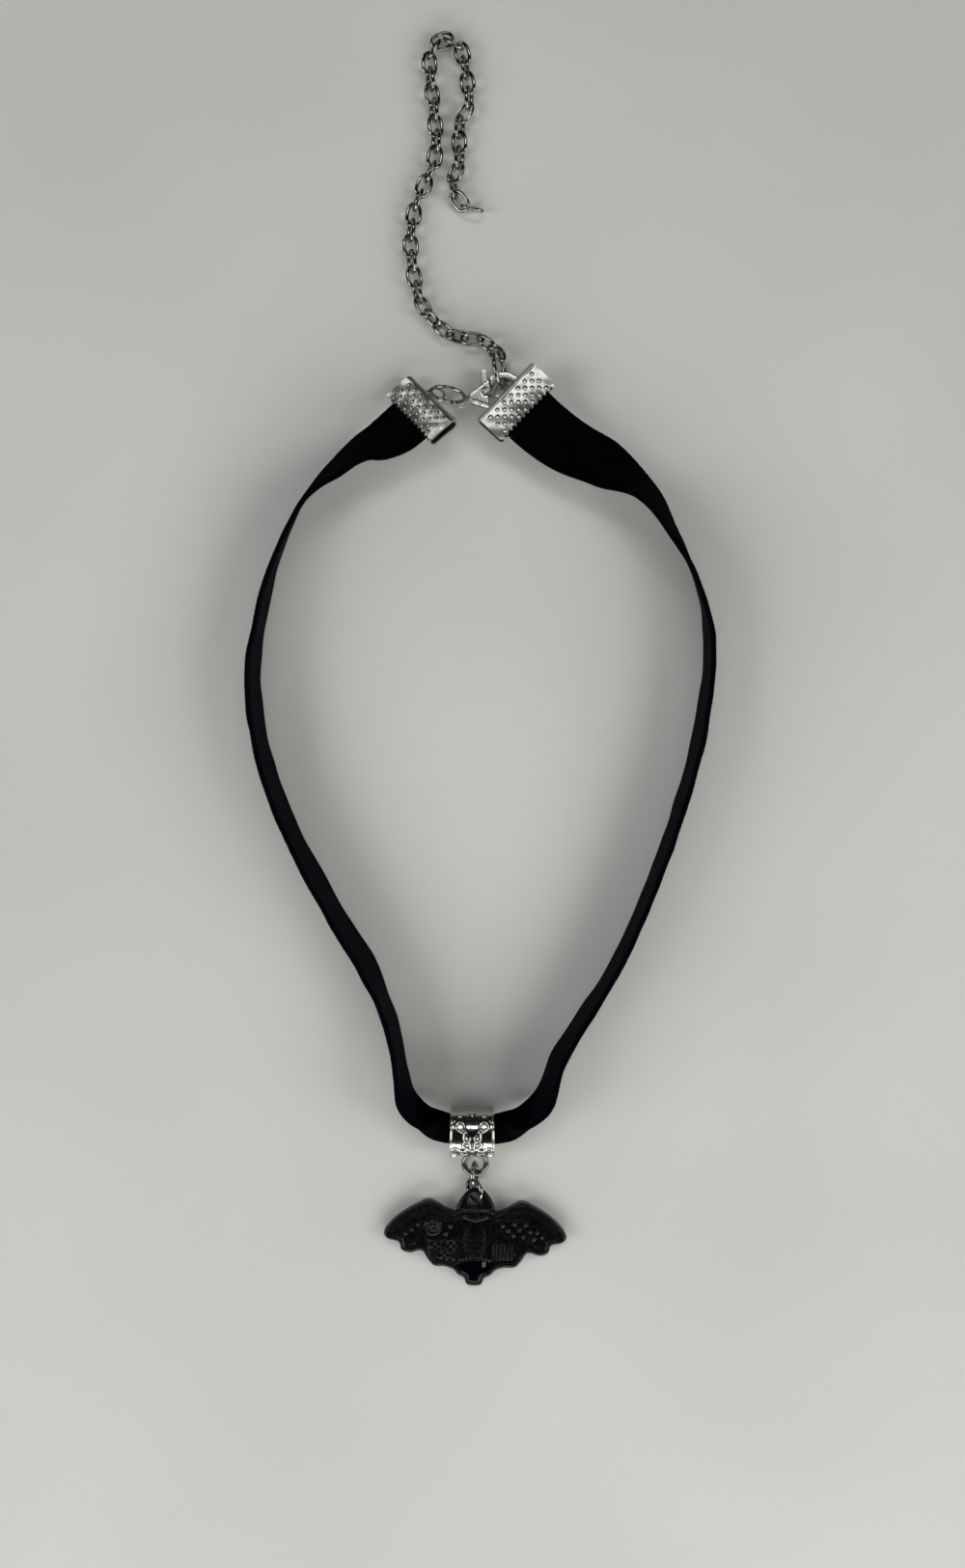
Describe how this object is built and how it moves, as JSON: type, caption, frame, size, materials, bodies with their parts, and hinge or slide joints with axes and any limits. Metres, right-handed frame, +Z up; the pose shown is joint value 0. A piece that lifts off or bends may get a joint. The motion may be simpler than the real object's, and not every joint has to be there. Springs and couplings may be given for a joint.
{
  "type": "choker necklace",
  "caption": "Velvet ribbon choker laid in a pear-shaped loop, with end crimps, a lobster clasp, an extender chain and a bat pendant hanging from a tube bail.",
  "frame": {"origin": "middle of the lying necklace's footprint, on the surface it lies on", "axes": "+Y from the pendant towards the clasp and chain, +Z up from the surface"},
  "size_m": [0.0768, 0.21, 0.0101],
  "materials": {
    "velvet": "deep black velvet pile, plain woven back",
    "plating": "polished silver-tone plating",
    "resin": "near-black, semi-gloss, lightly worn"
  },
  "bodies": {
    "necklace": {"ribbon": "velvet", "crimp_left": "plating", "crimp_right": "plating", "clasp_body": "plating", "clasp_rivet": "plating", "jump_ring_clasp": "plating", "jump_ring_chain": "plating", "chain_link_01": "plating", "chain_link_02": "plating", "chain_link_03": "plating", "chain_link_04": "plating", "chain_link_05": "plating", "chain_link_06": "plating", "chain_link_07": "plating", "chain_link_08": "plating", "chain_link_09": "plating", "chain_link_10": "plating", "chain_link_11": "plating", "chain_link_12": "plating", "chain_link_13": "plating", "chain_link_14": "plating", "chain_link_15": "plating", "chain_link_16": "plating", "chain_link_17": "plating", "chain_link_18": "plating", "chain_link_19": "plating", "chain_link_20": "plating", "chain_link_21": "plating", "chain_link_22": "plating", "chain_link_23": "plating", "chain_link_24": "plating", "chain_link_25": "plating", "chain_link_26": "plating", "chain_link_27": "plating", "chain_link_28": "plating", "chain_link_29": "plating", "chain_link_30": "plating", "chain_link_31": "plating", "chain_link_32": "plating", "chain_link_33": "plating", "chain_link_34": "plating", "chain_link_35": "plating", "chain_link_36": "plating", "chain_link_37": "plating", "chain_link_38": "plating", "bail": "plating", "jump_ring_bail": "plating", "jump_ring_bat": "plating", "bat_pendant": "resin"},
    "lever": {"clasp_lever": "plating"}
  },
  "joints": [
    {"name": "lever_pivot", "type": "hinge", "parent": "necklace", "child": "lever", "pos_m": [0.00084, 0.04424, 0.00186], "axis": [-0.069, -0.0103, 0.9976], "range_deg": [0, 16], "stiffness_Nm_per_rad": 0.002}
  ]
}
